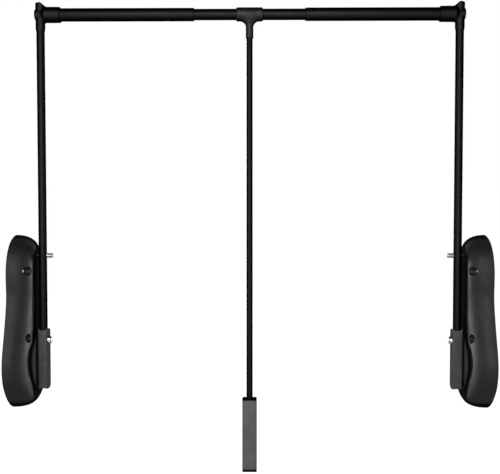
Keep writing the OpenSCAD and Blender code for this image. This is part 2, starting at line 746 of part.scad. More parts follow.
// Stem flared into the collar by the fillet
module stem_form() rotate_extrude() {
    translate([0, stem_chamfer - stem_l]) square([stem_d / 2, stem_l - stem_chamfer]);
    polygon([[0, -stem_l], [stem_d / 2 - stem_chamfer, -stem_l], [stem_d / 2, stem_chamfer - stem_l],
        [0, stem_chamfer - stem_l]]);
    translate([0, fillet_rise - collar_d / 2 - stem_fillet]) difference() {
        square([stem_d / 2 + stem_fillet, stem_fillet + collar_d / 6]);
        translate([stem_d / 2 + stem_fillet, 0]) circle(stem_fillet);
    }
}
// Stem seen along the rail, as wide as the collar at the top
module stem_side() {
    circle(d = collar_d);
    polygon([[-collar_d / 2, 0], [collar_d / 2, 0], [stem_d / 2, -collar_d / 2 - stem_fillet / 2],
        [stem_d / 2, -stem_l - cut], [-stem_d / 2, -stem_l - cut],
        [-stem_d / 2, -collar_d / 2 - stem_fillet / 2]]);
}
module collar_screw() color("#2a2a2c") at_rail() rotate([-90, 0, 0]) {
    translate([0, 0, inner_d / 2 - groove_depth + pass_gap])
        cylinder(d = fix_d, h = (collar_d - inner_d) / 2 + groove_depth - pass_gap);
}
module handle_rod() color("#1a1a1b") at_rail() difference() {
    translate([0, 0, -rod_end]) cylinder(d = rod_d, h = rod_end - stem_l + rod_in_stem - seat_gap);
    translate([0, 0, -rod_end - cut]) cylinder(d = rod_d - 2 * rod_wall, h = rod_end);
}
module grip_part(from, to) {
    translate([0, 0, from]) linear_extrude(to - from) soft_square(grip_w, grip_w, grip_r);
}
module grip() color("#626265") at_rail() difference() {
    grip_part(end_cap_h - handle_l, -grip_top - top_cap_h);
    translate([0, 0, -rod_end - seat_gap]) cylinder(d = rod_d + 2 * seat_gap, h = grip_l);
}
module grip_top_cap() color("#0c0c0d") at_rail() difference() {
    grip_part(-grip_top - top_cap_h, -grip_top);
    translate([0, 0, -handle_l]) cylinder(d = rod_d + 2 * seat_gap, h = handle_l);
}
module grip_end_cap() color("#0c0c0d") at_rail() {
    grip_part(-handle_l, end_cap_h - handle_l);
}

module left_cover() left() cover();
module left_back_plate() left() back_plate();
module left_ferrules() left() ferrules();
module left_cover_screws() left() cover_screws();
module left_bearing_bridge() left() bearing_bridge();
module left_pivot_bushes() left() pivot_bushes();
module left_cylinder() left() cylinder_body();
module left_anchor_pin() left() anchor_pin();
module left_rack() left() rack();
module left_piston_rod() left() piston_rod();
module left_pivot_shaft() left() pivot_shaft();
module left_pinion() left() pinion();
module left_pivot_cheek() left() pivot_cheek();
module left_arm_bracket() left() arm_bracket();
module left_clamp_bolt() left() clamp_bolt();
module left_arm() left() arm();
module left_stop_bolt() left() stop_bolt();
module left_stop_nut() left() stop_nut();
module left_corner_connector() left() corner_connector();
module left_corner_screws() left() corner_screws();
module left_outer_tube() left() outer_tube();
module left_tube_guide() left() tube_guide();
module right_cover() right() cover();
module right_back_plate() right() back_plate();
module right_ferrules() right() ferrules();
module right_cover_screws() right() cover_screws();
module right_bearing_bridge() right() bearing_bridge();
module right_pivot_bushes() right() pivot_bushes();
module right_cylinder() right() cylinder_body();
module right_anchor_pin() right() anchor_pin();
module right_rack() right() rack();
module right_piston_rod() right() piston_rod();
module right_pivot_shaft() right() pivot_shaft();
module right_pinion() right() pinion();
module right_pivot_cheek() right() pivot_cheek();
module right_arm_bracket() right() arm_bracket();
module right_clamp_bolt() right() clamp_bolt();
module right_arm() right() arm();
module right_stop_bolt() right() stop_bolt();
module right_stop_nut() right() stop_nut();
module right_corner_connector() right() corner_connector();
module right_corner_screws() right() corner_screws();
module right_outer_tube() right() outer_tube();
module right_tube_guide() right() tube_guide();

left_cover();
left_back_plate();
left_ferrules();
left_cover_screws();
left_bearing_bridge();
left_pivot_bushes();
left_cylinder();
left_anchor_pin();
left_rack();
left_piston_rod();
left_pivot_shaft();
left_pinion();
left_pivot_cheek();
left_arm_bracket();
left_clamp_bolt();
left_arm();
left_stop_bolt();
left_stop_nut();
left_corner_connector();
left_corner_screws();
left_outer_tube();
left_tube_guide();
right_cover();
right_back_plate();
right_ferrules();
right_cover_screws();
right_bearing_bridge();
right_pivot_bushes();
right_cylinder();
right_anchor_pin();
right_rack();
right_piston_rod();
right_pivot_shaft();
right_pinion();
right_pivot_cheek();
right_arm_bracket();
right_clamp_bolt();
right_arm();
right_stop_bolt();
right_stop_nut();
right_corner_connector();
right_corner_screws();
right_outer_tube();
right_tube_guide();
inner_tube();
tube_plugs();
handle_collar();
collar_screw();
handle_rod();
grip();
grip_top_cap();
grip_end_cap();
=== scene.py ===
import json
import math

import bmesh
import bpy
import numpy as np
from mathutils import Matrix, Vector
from mathutils.bvhtree import BVHTree


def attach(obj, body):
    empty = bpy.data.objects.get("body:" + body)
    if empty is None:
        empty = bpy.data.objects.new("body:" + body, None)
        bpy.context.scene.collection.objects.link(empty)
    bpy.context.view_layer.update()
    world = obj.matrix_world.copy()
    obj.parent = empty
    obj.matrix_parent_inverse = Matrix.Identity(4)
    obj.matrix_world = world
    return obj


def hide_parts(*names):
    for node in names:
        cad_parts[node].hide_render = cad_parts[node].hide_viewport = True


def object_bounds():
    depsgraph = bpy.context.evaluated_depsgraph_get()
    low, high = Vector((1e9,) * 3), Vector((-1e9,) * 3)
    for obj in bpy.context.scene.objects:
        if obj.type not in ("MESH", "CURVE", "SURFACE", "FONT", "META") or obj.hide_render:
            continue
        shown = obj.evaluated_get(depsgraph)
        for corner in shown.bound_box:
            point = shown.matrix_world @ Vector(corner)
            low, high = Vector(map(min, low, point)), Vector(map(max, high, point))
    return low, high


# Looks of a pull-down wardrobe rail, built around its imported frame. Shapes are written in
# millimetres, in the frame of the wall unit, the arm or the rail that carries them.
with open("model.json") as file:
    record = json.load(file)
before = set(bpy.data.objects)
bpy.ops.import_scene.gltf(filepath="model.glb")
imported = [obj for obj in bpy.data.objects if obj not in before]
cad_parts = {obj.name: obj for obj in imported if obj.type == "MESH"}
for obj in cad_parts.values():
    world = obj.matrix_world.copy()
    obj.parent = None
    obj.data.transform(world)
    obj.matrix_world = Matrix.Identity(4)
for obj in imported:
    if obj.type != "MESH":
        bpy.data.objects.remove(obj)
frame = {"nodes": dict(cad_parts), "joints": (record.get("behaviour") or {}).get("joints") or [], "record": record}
cad_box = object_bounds()

# Places that the frame gives, in metres
joints = {joint["name"]: joint for joint in frame["joints"]}
slot_of = {row["node"]: row["material_slot"] for row in frame["record"]["subparts"]}
pivot = Vector(joints["pull_down"]["pos_m"])
rail = Vector(joints["handle_swing"]["pos_m"])
wall_width = cad_box[1].x
MM = 0.001

# Gap between a piece and its seat, how far a cutter runs past what it cuts, and the usual
# roundings of edges, in millimetres like the sizes that follow
SEAT_GAP = 0.05
PAST = 1
EDGE, FINE_EDGE, GROOVE_LIP_EDGE, GROOVE_FOOT_EDGE = 0.3, 0.2, 0.15, 0.1

# Sizes of the housing, and the power of its superelliptic edge
HOUSING_H, HOUSING_W, HOUSING_D = 340, 142.5, 44
PIVOT_H, PIVOT_IN = 90, 61.5
EDGE_POWER = 2.2
COVER_WALL = 2.5
PLATE_T = 2
BUSH_R, BUSH_HOLE_START, BUSH_HOLE_BEVEL = 8.08, 30, 0.6

# Sizes of the screw wells and their ferrules
WELL_PLACES = [(-22, 50), (-22, 180)]
WELL_R, WELL_FLOOR, WELL_TUBE_SINK = 8, 20, 0.7
WELL_FOOT, WELL_FOOT_MIDDLE = 0.8, 0.25
WELL_RIM, WELL_RIM_MIDDLE, WELL_RIM_LIFT, WELL_RIM_CLEAR = 1.1, 0.25, 0.03, 0.15
WELL_CUT_END = HOUSING_D + 6
FERRULE_R, FERRULE_BORE_R, FERRULE_TOP = 4.5, 2.75, 29
FERRULE_FOOT_EDGE, FERRULE_OUTER_EDGE, FERRULE_INNER_EDGE = 0.2, 0.7, 0.5

# Sizes of the arms and their brackets
ARM_LEAN = 2.15
ARM_OUT, ARM_BACK = 58, 18
ARM_R, ARM_WALL, ARM_TAIL, ARM_REACH, ARM_TOP, ARM_EDGE = 8, 1.5, 48, 678.5, 18.2, 0.35
BRACKET_UP, BRACKET_DOWN, BRACKET_W, BRACKET_T, BRACKET_R = 64, 54.5, 25, 1.5, 4.5
CHANNEL_W, WEB_T, FLANGE_R = 19.1, 2.5, 9
WEB_FRONT = BRACKET_T - WEB_T - CHANNEL_W / 2
BRACKET_BACK = WEB_FRONT + BRACKET_W
BEVEL_H, FOOT_BEVEL_H, BEVEL_T = 10.5, 4, 3.2
BEVEL_CORNER_R, BEVEL_TOP_R, BEVEL_FOOT_R = 0.6, 4, 2
CHEEK_T, CHEEK_FRONT, CHEEK_R, CHEEK_EDGE = 3, 25, 58, 0.5
CLAMP_R, CLAMP_UP = 4, 42
CLAMP_HEAD_R, CLAMP_HEAD_H, CLAMP_HEAD_DOME, CLAMP_HEAD_EDGE = 8, 8, 5.5, 0.25
CLAMP_HOLE_L = 40
STOP_R, STOP_UP, STOP_HEAD_H, STOP_HEAD_EDGE = 2.5, 209, 3, 1.2
STOP_NUT_R, STOP_NUT_L, STOP_NUT_DOME = 4.5, 13, 2.4
NUT_GROOVE_IN, NUT_GROOVE_W, NUT_GROOVE_T = 4, 1, 0.5

# Sizes of the connectors. The cap is cut along the plane whose normal is SLOPE_ACROSS along
# the rail and SLOPE_UP along the arm, and GUSSET_FLATNESS is the width of the gusset's oval
# divided by its height.
SLEEVE_R, SLEEVE_DOWN, SLEEVE_UP = 9.25, 32, 23.2
SLEEVE_TAPER_H, SLEEVE_TAPER, SLEEVE_JOINT = 6, 0.8, 4
CAP_R, CAP_DOWN, CAP_EDGE = 9.55, 12, 2.6
SLOPE_ACROSS, SLOPE_UP, SLOPE_OFFSET, SLOPE_EDGE = 0.685, 0.728, 18.4, 1.4
GUSSET_R, GUSSET_UP, GUSSET_FLATNESS, GUSSET_L, GUSSET_EDGE = 9.2, 8, 0.75, 13, 1.5
ROOT_STEP, ROOT_GROWTH, ROOT_START, ROOT_END, ROOT_EDGE = 0.4, 0.56, -5, 30, 2
SOCKET_R, SOCKET_BORE_R, SOCKET_FLOOR, SOCKET_L = 15.25, 12.75, 10.25, 39
SOCKET_LAP, SOCKET_EDGE, SOCKET_MOUTH = 2, 1.3, 0.6
PAD_R, PAD_H, PAD_EDGE, PAD_FILLET = 10.5, 0.6, 0.6, 0.8
CAP_FILLET, SOCKET_FILLET, CONNECTOR_FILLET, SLEEVE_MOUTH = 1, 1, 2.5, 0.15
CONNECTOR_BOX = ((-13, -17, -34), (40, 17, 26))

# Sizes of the rail and its collar
OUTER_R, OUTER_WALL, OUTER_START, OUTER_L = 12.7, 1.2, 10.45, 288
INNER_R, INNER_WALL, INNER_L = 10.8, 1.5, 508
GUIDE_L, GUIDE_LIP, GUIDE_GAP = 22, 1.2, 0.08
GUIDE_LIP_EDGE, GUIDE_MOUTH = 0.5, 0.4
GROOVE_W, GROOVE_DEPTH = 5, 0.8
COLLAR_R, COLLAR_L, COLLAR_BORE_R, COLLAR_EDGE, COLLAR_MOUTH = 13.4, 51.6, 10.88, 2, 0.5
STEM_R, STEM_L, STEM_FILLET, STEM_EDGE, STEM_MOUTH = 7.4, 47, 12, 1.3, 0.4
COLLAR_BOX = ((-28, -16, -49), (28, 16, 16))
BORE_REACH = 60

# Sizes of the handle
ROD_R, ROD_WALL, ROD_TOP, ROD_END = 6, 1.2, 19.45, 879
GRIP_W, GRIP_R, GRIP_TOP, GRIP_END, GRIP_HOLE_TOP = 28, 3, 746.5, 886, 700
TOP_CAP_H, TOP_CAP_EDGE = 2, 0.45
END_CAP_H, END_CAP_EDGE = 5, 0.9

# Outline of the housing on the wall and of its flat face, in hundredths of HOUSING_W and
# HOUSING_H, as in the CAD source
WALL_OUTLINE = [(67, 100), (39.6, 96.9), (23.5, 90.1), (16.8, 81.8), (16.6, 73.2), (18.4, 65),
    (14.7, 54.4), (7.4, 42.1), (1.3, 32.4), (0, 23.5), (7.2, 14.2), (27, 5.2), (48.5, 0.5),
    (66, 0), (88, 3), (98.4, 12), (100, 24), (97.2, 40), (93.7, 56), (92.3, 71),
    (91, 84), (84, 94.7)]
FACE_OUTLINE = [(65, 90.8), (53, 89.4), (44.8, 85.4), (41.1, 80.3), (41.8, 72.9), (47.5, 65),
    (49.5, 55.3), (47.4, 42.6), (44.6, 32.4), (42.5, 24.1), (41.1, 15.9), (43.4, 8.8),
    (53, 6), (72, 6.4), (86.5, 9), (93.5, 13.8), (93, 24.5), (90.2, 40), (86.7, 56),
    (85.3, 71), (83.6, 79.6), (76.6, 86.6)]

# How finely round forms are divided, and the radius below which a point is on the axis
TUBE_STEPS, BOLT_STEPS, WELL_STEPS, CHEEK_STEPS = 96, 64, 72, 256
CORNER_STEPS, SIDE_STEPS, CHANNEL_STEPS, GRIP_STEPS, EASED_STEPS = 5, 8, 10, 7, 3
OUTLINE_STEPS, DOME_STEPS, CAVITY_STEPS, WELL_TUBE_DOME_STEPS, RIM_STEPS = 8, 26, 12, 20, 6
ON_AXIS = 1e-6

# Grid of the castings, and the steps that pull its points onto the surface
CAST_STEP, CAST_NUDGE, CAST_PULLS, LEAST_SLOPE = 0.6, 0.01, 3, 0.5

# Angles, in degrees, from which an edge shades as sharp or is eased
SHARP_ANGLE, LOFT_SHARP_ANGLE, CAST_SHARP_ANGLE = 34, 40, 60
EASED_ANGLE, BRACKET_EASED_ANGLE = 35, 40

# Frames: unit from the wall and the pivot, arm on the arm's axis, corner where that axis
# meets the rail's, rail on the rail's axis
SIDES = ("left", "right")
to_metres = Matrix.Scale(MM, 4)
left_frame = Matrix.Translation((0, pivot.y, pivot.z)) @ to_metres
mirrored = Matrix.Translation((wall_width, 0, 0)) @ Matrix.Scale(-1, 4, (1, 0, 0))
UNIT = {"left": left_frame, "right": mirrored @ left_frame}
lean = Matrix.Rotation(math.radians(ARM_LEAN), 4, "X")
on_arm = lean @ Matrix.Translation((ARM_OUT, ARM_BACK, 0))
ARM = {side: UNIT[side] @ on_arm for side in SIDES}
CORNER = {side: ARM[side] @ Matrix.Translation((0, 0, ARM_REACH)) for side in SIDES}
RAIL = Matrix.Translation(rail) @ to_metres
ALONG_X = Matrix.Rotation(math.pi / 2, 4, "Y")

# Camera of the photograph, in metres and degrees
CAMERA_PLACE = (rail.x + 0.0152, -1.4848, 0.1309)
CAMERA_TURN = 0.55
CAMERA_LENS, CAMERA_SENSOR = 55.51, 36


def make_camera():
    data = bpy.data.cameras.new("photo_camera")
    data.lens = CAMERA_LENS
    data.sensor_width = CAMERA_SENSOR
    camera = bpy.data.objects.new("photo_camera", data)
    camera.location = CAMERA_PLACE
    camera.rotation_euler = (math.pi / 2, 0, math.radians(CAMERA_TURN))
    bpy.context.scene.collection.objects.link(camera)
    bpy.context.scene.camera = camera


# Light and surroundings, in metres, watts and degrees
WORLD_LIGHT = 0.08
CEILING_FADE, CEILING_GLOSS = (0.35, 0.8), 0.08
FLOOR_Z, FLOOR_REACH = -1.16, 14
FLOOR_COLOUR, FLOOR_ROUGHNESS = (0.86, 0.86, 0.85, 1), 0.9
FLOOR_FADE, FLOOR_LIFT, FLOOR_GLOSS = (1.4, 2.6), 0.6, 0.1
FRONT_AIM = (rail.x, 0, 0.1)
FRONT_LAMPS = {
    "key": {"place": (0.36, -2.35, 0.8), "size": (1.0, 2.2), "power": 46},
    "left_fill": {"place": (-0.95, -2.2, 0.8), "size": (0.7, 2.2), "power": 26},
}
RIDGE_LAMP = {"size": (0.4, 1.6), "power": 2.7, "spread": 36}
RIDGE_ACROSS, RIDGE_BACK, RIDGE_UP = 1.83, 1.26, 0.1


def maximum(tree, *sources):
    node = tree.nodes.new("ShaderNodeMath")
    node.operation = "MAXIMUM"
    for source, socket in zip(sources, node.inputs):
        if isinstance(source, float):
            socket.default_value = source
        else:
            tree.links.new(source, socket)
    return node.outputs[0]


def multiplied(tree, first, second):
    node = tree.nodes.new("ShaderNodeMath")
    node.operation = "MULTIPLY"
    tree.links.new(first, node.inputs[0])
    tree.links.new(second, node.inputs[1])
    return node.outputs[0]


def ranged(tree, source, start, end, low, high):
    """Runs from low to high where the source runs from start to end."""
    node = tree.nodes.new("ShaderNodeMapRange")
    for key, value in (("From Min", start), ("From Max", end), ("To Min", low), ("To Max", high)):
        node.inputs[key].default_value = value
    tree.links.new(source, node.inputs["Value"])
    return node.outputs["Result"]


def surroundings(tree, gloss_share):
    """1 for rays that see the white surroundings, and a share of it for glossy rays."""
    path = tree.nodes.new("ShaderNodeLightPath")
    glossy = multiplied(tree, path.outputs["Is Glossy Ray"], gloss_share)
    seen = maximum(tree, path.outputs["Is Camera Ray"], path.outputs["Is Transmission Ray"])
    return maximum(tree, seen, glossy)


def make_world():
    """White all round, whose reflection fades towards the ceiling of the studio."""
    world = bpy.data.worlds.new("studio")
    world.use_nodes = True
    tree = world.node_tree
    background = tree.nodes["Background"]
    background.inputs["Color"].default_value = (1, 1, 1, 1)
    direction = tree.nodes.new("ShaderNodeTexCoord")
    parts = tree.nodes.new("ShaderNodeSeparateXYZ")
    tree.links.new(direction.outputs["Generated"], parts.inputs[0])
    ceiling = ranged(tree, parts.outputs["Z"], *CEILING_FADE, 1, CEILING_GLOSS)
    strength = maximum(tree, surroundings(tree, ceiling), WORLD_LIGHT)
    tree.links.new(strength, background.inputs["Strength"])
    bpy.context.scene.world = world


def make_floor():
    """Pale floor that keeps the shadow near the object and turns white further off."""
    mesh = bpy.data.meshes.new("floor")
    corners = [(-1, -1), (1, -1), (1, 1), (-1, 1)]
    mesh.from_pydata([(FLOOR_REACH * x, FLOOR_REACH * y, FLOOR_Z) for x, y in corners], [], [(0, 1, 2, 3)])
    floor = bpy.data.objects.new("floor", mesh)
    bpy.context.scene.collection.objects.link(floor)
    material = bpy.data.materials.new("pale_floor")
    material.use_nodes = True
    tree = material.node_tree
    shader = tree.nodes["Principled BSDF"]
    shader.inputs["Base Color"].default_value = FLOOR_COLOUR
    shader.inputs["Roughness"].default_value = FLOOR_ROUGHNESS
    shader.inputs["Specular IOR Level"].default_value = 0
    shader.inputs["Emission Color"].default_value = (1, 1, 1, 1)
    place = tree.nodes.new("ShaderNodeTexCoord")
    away = tree.nodes.new("ShaderNodeVectorMath")
    away.operation = "LENGTH"
    tree.links.new(place.outputs["Object"], away.inputs[0])
    lift = ranged(tree, away.outputs["Value"], *FLOOR_FADE, FLOOR_LIFT, 1)
    gloss = ranged(tree, away.outputs["Value"], *FLOOR_FADE, FLOOR_GLOSS, 1)
    tree.links.new(multiplied(tree, surroundings(tree, gloss), lift), shader.inputs["Emission Strength"])
    mesh.materials.append(material)


def make_lamp(name, place, aim, size, power, spread=180):
    data = bpy.data.lights.new(name, "AREA")
    data.shape = "RECTANGLE"
    data.size, data.size_y = size
    data.energy = power
    data.spread = math.radians(spread)
    lamp = bpy.data.objects.new(name, data)
    lamp.location = place
    lamp.rotation_euler = (Vector(aim) - Vector(place)).to_track_quat("-Z", "Y").to_euler()
    bpy.context.scene.collection.objects.link(lamp)


def make_lamps():
    """Two tall lamps in front, and behind on each side a narrow one for the cover across from it."""
    for name, look in FRONT_LAMPS.items():
        make_lamp(name, aim=FRONT_AIM, **look)
    for side, across, aim in (("left", RIDGE_ACROSS, pivot.x),
            ("right", wall_width - RIDGE_ACROSS, wall_width - pivot.x)):
        make_lamp(f"{side}_ridge", (across, RIDGE_BACK, RIDGE_UP), (aim, 0, 0), **RIDGE_LAMP)


# Materials: colour, roughness, specular level, and the range of facing over which that level
# falls to nothing towards the edge of a form. Grain is the size of a plastic's texture, and
# depth is how deep that texture or a metal's drawn lines are, in millimetres.
USUAL_RIM = (0.0, 0.26)
PLASTICS = {
    "cover_plastic": {"colour": (0.0065, 0.0065, 0.0066), "roughness": 0.52, "specular": 0.21,
        "rim": (0.44, 0.62)},
    "connector_plastic": {"colour": (0.0012, 0.0012, 0.0012), "roughness": 0.45, "specular": 0.15},
    "guide_plastic": {"colour": (0.002, 0.002, 0.002), "roughness": 0.5, "specular": 0.1},
    "collar_plastic": {"colour": (0.007, 0.007, 0.0073), "roughness": 0.5, "specular": 0.24,
        "rim": (0.02, 0.36)},
    "grip_plastic": {"colour": (0.085, 0.085, 0.088), "roughness": 0.5, "specular": 0.12,
        "grain": 0.8, "depth": 0.07},
    "cap_plastic": {"colour": (0.002, 0.002, 0.002), "roughness": 0.5, "specular": 0.04},
    "nylon": {"colour": (0.66, 0.62, 0.52), "roughness": 0.45, "specular": 0.4,
        "grain": 1.5, "depth": 0.02},
}
PAINTS = {
    "arm_paint": {"colour": (0.0012, 0.0011, 0.0011), "roughness": 0.45, "specular": 0.125},
    "rail_paint": {"colour": (0.0012, 0.0012, 0.0012), "roughness": 0.45, "specular": 0.135},
    "cheek_paint": {"colour": (0.004, 0.004, 0.0042), "roughness": 0.5, "specular": 0.06,
        "rim": (0.7, 0.98)},
    "bracket_paint": {"colour": (0.052, 0.05, 0.052), "roughness": 0.45, "specular": 0.12},
    "cylinder_paint": {"colour": (0.01, 0.01, 0.011), "roughness": 0.25, "specular": 0.4},
}
METALS = {
    "black_screws": {"colour": (0.03, 0.03, 0.03), "roughness": 0.4, "depth": 0.02},
    "zinc_steel": {"colour": (0.45, 0.45, 0.46), "roughness": 0.33, "depth": 0.02},
    "nut_steel": {"colour": (0.27, 0.27, 0.28), "roughness": 0.36, "depth": 0.02},
    "plate_steel": {"colour": (0.36, 0.37, 0.39), "roughness": 0.42, "depth": 0.03},
    "gear_steel": {"colour": (0.4, 0.41, 0.42), "roughness": 0.36, "depth": 0.04},
    "chrome_steel": {"colour": (0.42, 0.43, 0.45), "roughness": 0.14, "depth": 0.004},
}
METAL_SPECULAR = 0.5

# Range over which most looks use a noise
MID_NOISE = (0.3, 0.7)

# Sockets of the Mix node when it mixes colours
MIX_FACTOR, MIX_FIRST, MIX_SECOND, MIX_RESULT = 0, 6, 7, 2


class Surface:
    """A material under construction, with its texture nodes in metres of the object."""

    def __init__(self, name, colour, roughness, specular, rim=None, metallic=0):
        self.material = bpy.data.materials.new(name)
        self.material.use_nodes = True
        self.tree = self.material.node_tree
        self.colour = colour
        self.shader = self.tree.nodes["Principled BSDF"]
        self.shader.inputs["Base Color"].default_value = (*colour, 1)
        self.shader.inputs["Roughness"].default_value = roughness
        self.shader.inputs["Metallic"].default_value = metallic
        self.shader.inputs["Specular IOR Level"].default_value = specular
        self.place = self.tree.nodes.new("ShaderNodeTexCoord").outputs["Object"]
        if rim:
            weight = self.tree.nodes.new("ShaderNodeLayerWeight")
            self.use("Specular IOR Level", self.ranged(weight.outputs["Facing"], *rim, specular, 0))

    def use(self, key, source):
        self.tree.links.new(source, self.shader.inputs[key])

    def ranged(self, source, start, end, low, high):
        return ranged(self.tree, source, start, end, low, high)

    def stretched(self, scale):
        mapping = self.tree.nodes.new("ShaderNodeMapping")
        mapping.inputs["Scale"].default_value = scale
        self.tree.links.new(self.place, mapping.inputs["Vector"])
        return mapping.outputs["Vector"]

    def noise(self, size, detail, place=None):
        """Noise whose features are about that many millimetres across."""
        node = self.tree.nodes.new("ShaderNodeTexNoise")
        node.inputs["Scale"].default_value = 1 / (size * MM)
        node.inputs["Detail"].default_value = detail
        self.tree.links.new(place or self.place, node.inputs["Vector"])
        return node.outputs["Fac"]

    def tint(self, source, start, end, low, high):
        """Colour from low to high times its own where the source runs from start to end."""
        node = self.tree.nodes.new("ShaderNodeMix")
        node.data_type = "RGBA"
        for socket, factor in ((MIX_FIRST, low), (MIX_SECOND, high)):
            node.inputs[socket].default_value = (*(min(factor * c, 1) for c in self.colour), 1)
        self.tree.links.new(self.ranged(source, start, end, 0, 1), node.inputs[MIX_FACTOR])
        self.use("Base Color", node.outputs[MIX_RESULT])

    def bumped(self, height, depth, strength, below=None):
        """Bump of that depth in millimetres, over an earlier one."""
        node = self.tree.nodes.new("ShaderNodeBump")
        node.inputs["Distance"].default_value = depth * MM
        node.inputs["Strength"].default_value = strength
        self.tree.links.new(height, node.inputs["Height"])
        if below is not None:
            self.tree.links.new(below, node.inputs["Normal"])
        return node.outputs["Normal"]


def moulded_plastic(name, colour, roughness, specular, rim=USUAL_RIM, grain=0.55, depth=0.05):
    """Spark-textured plastic with faint flow clouds and rubbed patches."""
    surface = Surface(name, colour, roughness, specular, rim)
    clouds = surface.noise(size=38, detail=3)
    surface.tint(clouds, *MID_NOISE, low=0.86, high=1.25)
    rubs = surface.noise(size=9, detail=4)
    surface.use("Roughness", surface.ranged(rubs, *MID_NOISE, roughness - 0.05, roughness + 0.06))
    fine = surface.bumped(surface.noise(size=grain, detail=2), depth, strength=0.7)
    waves = surface.noise(size=14, detail=1)
    surface.use("Normal", surface.bumped(waves, depth=0.06, strength=0.5, below=fine))
    return surface.material


def powder_coat(name, colour, roughness, specular, rim=USUAL_RIM):
    """Baked powder coat: soft orange peel, fine grain and a few dull rubs."""
    surface = Surface(name, colour, roughness, specular, rim)
    rubs = surface.noise(size=22, detail=5)
    surface.tint(rubs, start=0.45, end=0.8, low=1, high=1.5)
    dulled = surface.ranged(rubs, start=0.3, end=0.75, low=roughness - 0.04, high=roughness + 0.08)
    surface.use("Roughness", dulled)
    peel = surface.bumped(surface.noise(size=1.7, detail=1), depth=0.05, strength=0.6)
    grain = surface.noise(size=0.35, detail=2)
    surface.use("Normal", surface.bumped(grain, depth=0.012, strength=0.6, below=peel))
    return surface.material


def plated_steel(name, colour, roughness, depth):
    """Plated or machined steel: clouded plating over fine drawn lines along x."""
    surface = Surface(name, colour, roughness, METAL_SPECULAR, metallic=1)
    clouds = surface.noise(size=6, detail=4)
    surface.tint(clouds, *MID_NOISE, low=0.78, high=1.18)
    lines = surface.noise(size=1, detail=3, place=surface.stretched((0.06, 1.6, 1.6)))
    surface.use("Roughness", surface.ranged(lines, *MID_NOISE, roughness * 0.8, roughness * 1.3))
    surface.use("Normal", surface.bumped(lines, depth, strength=0.5))
    return surface.material


def make_materials():
    made = {}
    for maker, looks in ((moulded_plastic, PLASTICS), (powder_coat, PAINTS), (plated_steel, METALS)):
        for name, look in looks.items():
            made[name] = maker(name, **look)
    return made


# Meshes
def mesh_of(bm):
    bmesh.ops.recalc_face_normals(bm, faces=bm.faces)
    mesh = bpy.data.meshes.new("form")
    bm.to_mesh(mesh)
    bm.free()
    return mesh


def bridged(bm, low, high):
    """Faces between two rings of vertices; a ring of one is a point."""
    count = max(len(low), len(high))
    for i in range(count):
        j = (i + 1) % count
        corners = [low[i % len(low)], low[j % len(low)], high[j % len(high)], high[i % len(high)]]
        bm.faces.new(list(dict.fromkeys(corners)))


def rounded(corners, steps=CORNER_STEPS):
    """A flat path whose corners are (across, along, radius)."""
    path = []
    for i, (across, along, radius) in enumerate(corners):
        here = Vector((across, along))
        if radius == 0:
            path.append(here)
            continue
        before = (Vector(corners[i - 1][:2]) - here).normalized()
        after = (Vector(corners[(i + 1) % len(corners)][:2]) - here).normalized()
        half = before.angle(after) / 2
        centre = here + (before + after).normalized() * radius / math.sin(half)
        first = here + before * radius / math.tan(half) - centre
        last = here + after * radius / math.tan(half) - centre
        path += [centre + radius * first.slerp(last, k / steps) for k in range(steps + 1)]
    return path


def turned(corners, steps=TUBE_STEPS, closed=False):
    """A solid turned about z from a path of (radius, height, corner radius)."""
    bm = bmesh.new()
    spokes = [2 * math.pi * i / steps for i in range(steps)]
    rings = []
    for radius, height in rounded(corners):
        if radius < ON_AXIS:
            rings.append([bm.verts.new((0, 0, height))])
            continue
        rings.append([bm.verts.new((radius * math.cos(a), radius * math.sin(a), height)) for a in spokes])
    for low, high in zip(rings, rings[1:]):
        bridged(bm, low, high)
    if closed:
        bridged(bm, rings[-1], rings[0])
    return mesh_of(bm)


def solid_rod(radius, start, end, steps):
    """A plain cylinder along z."""
    return turned([(0, start, 0), (radius, start, 0), (radius, end, 0), (0, end, 0)], steps)


def pipe(radius, wall, start, end, edge=EDGE):
    """A tube along z with rounded mouths."""
    bore = radius - wall
    corners = [(bore, start, edge), (radius, start, edge), (radius, end, edge), (bore, end, edge)]
    return turned(corners, closed=True)


def drawn(path, start, end):
    """A closed flat path drawn out along z."""
    bm = bmesh.new()
    low, high = ([bm.verts.new((*p, height)) for p in path] for height in (start, end))
    bridged(bm, low, high)
    bm.faces.new(low[::-1])
    bm.faces.new(high)
    return mesh_of(bm)


def lofted(rows):
    """A closed form through rows of points, each of them a ring."""
    bm = bmesh.new()
    rings = [[bm.verts.new(point) for point in row] for row in rows]
    for low, high in zip(rings, rings[1:]):
        bridged(bm, low, high)
    bm.faces.new(rings[0])
    bm.faces.new(rings[-1][::-1])
    return mesh_of(bm)


def moved(mesh, matrix):
    mesh.transform(matrix)
    if matrix.determinant() < 0:
        mesh.flip_normals()
    mesh.update()
    return mesh


def evaluated(mesh, set_up):
    """The mesh after the modifiers that set_up adds to it."""
    thing = bpy.data.objects.new("work", mesh)
    bpy.context.scene.collection.objects.link(thing)
    helpers = set_up(thing)
    bpy.context.view_layer.update()
    graph = bpy.context.evaluated_depsgraph_get()
    result = bpy.data.meshes.new_from_object(thing.evaluated_get(graph))
    for done in [thing, *helpers]:
        bpy.data.objects.remove(done)
    return result


def combined(mesh, steps):
    """Exact booleans in turn: steps are (operation, mesh)."""
    for operation, tool_mesh in steps:
        def set_up(thing):
            tool = bpy.data.objects.new("tool", tool_mesh)
            bpy.context.scene.collection.objects.link(tool)
            modifier = thing.modifiers.new("boolean", "BOOLEAN")
            modifier.operation = operation
            modifier.solver = "EXACT"
            modifier.object = tool
            return [tool]
        mesh = evaluated(mesh, set_up)
    return mesh


